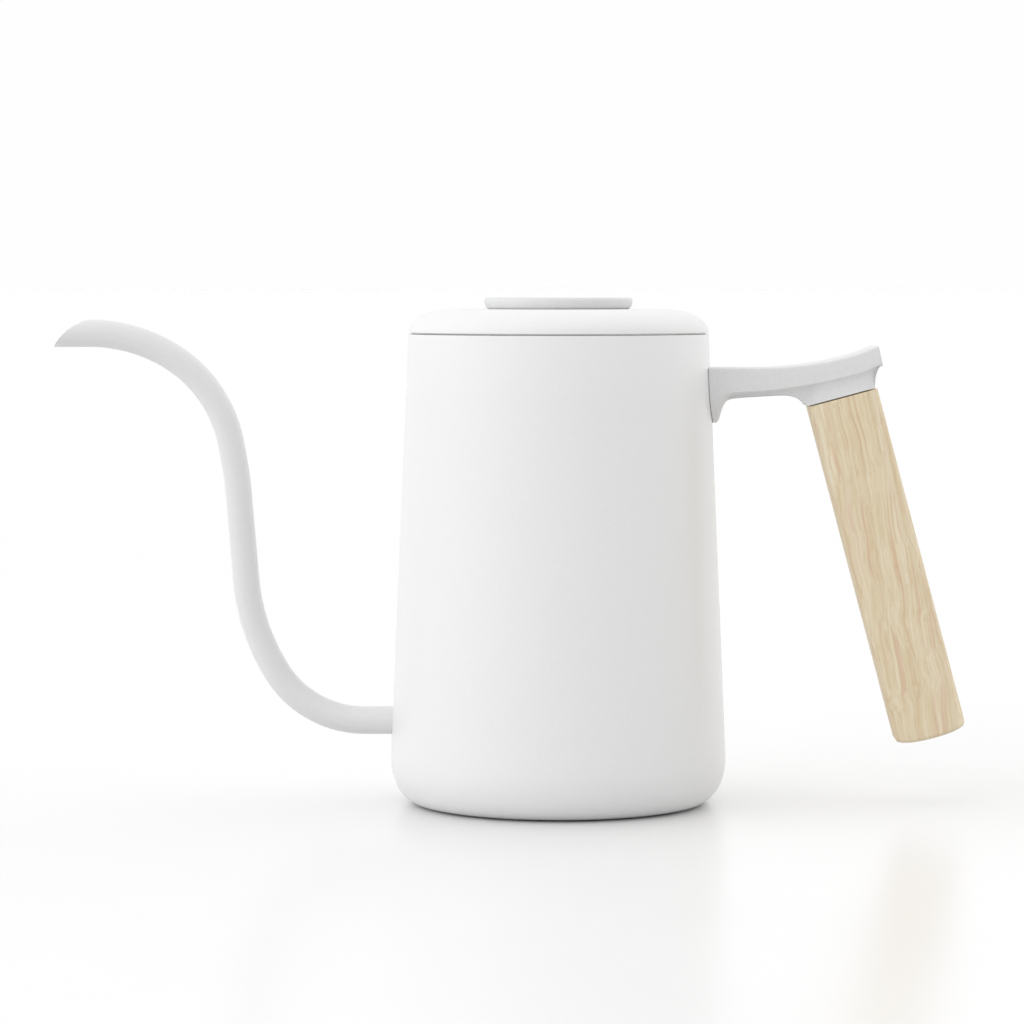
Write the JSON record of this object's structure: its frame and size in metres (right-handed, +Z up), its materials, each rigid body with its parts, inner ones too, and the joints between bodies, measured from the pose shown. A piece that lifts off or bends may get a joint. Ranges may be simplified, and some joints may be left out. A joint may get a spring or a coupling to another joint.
{
  "type": "gooseneck pour-over kettle",
  "caption": "Tapered round kettle with a slim gooseneck spout, a lift-off lid with a flat disc knob and a tilted wooden grip held on a cast arm, for pouring hot water in a thin stream.",
  "frame": {"origin": "on the body's axis, at the underside of the base, on the surface the kettle stands on", "axes": "+Z up along the body's axis, +X towards the handle, -X towards the spout, +Y to the left when looking along +X"},
  "size_m": [0.26, 0.096, 0.1445],
  "materials": {
    "white_coat": "satin powder coat",
    "white_tube_coat": "satin powder coat",
    "grey_cast_coat": "fine grainy cast and coated",
    "stainless_steel": "satin",
    "aluminium": "plain",
    "silicone": "matt",
    "dark_spacer": "matt",
    "pale_wood": "sanded and oiled"
  },
  "bodies": {
    "kettle": {"body_shell": "white_coat", "base_cap": "stainless_steel", "base_disc": "aluminium", "neck_ring": "stainless_steel", "spout_tube": "white_tube_coat", "handle_gasket": "dark_spacer", "handle_bracket": "grey_cast_coat", "handle_screw_1": "stainless_steel", "handle_screw_2": "stainless_steel", "screw_washer_1": "stainless_steel", "screw_washer_2": "stainless_steel", "screw_seal_1": "silicone", "screw_seal_2": "silicone", "bracket_insert": "stainless_steel", "grip_spacer": "dark_spacer", "wood_grip": "pale_wood", "grip_bolt": "stainless_steel", "grip_washer": "stainless_steel"},
    "seal": {"lid_seal": "silicone"},
    "lid": {"lid_shell": "white_coat", "lid_liner": "stainless_steel", "knob": "grey_cast_coat", "knob_pad": "dark_spacer", "knob_screw": "stainless_steel", "knob_washer": "stainless_steel", "vent_bush": "stainless_steel"}
  },
  "joints": [
    {"name": "lid_lift", "type": "slide", "parent": "kettle", "child": "seal", "axis": [0, 0, 1], "range_m": [0, 0.08]},
    {"name": "lid_turn", "type": "hinge", "parent": "seal", "child": "lid", "pos_m": [0, 0, 0.1315], "axis": [0, 0, 1], "continuous": true}
  ]
}
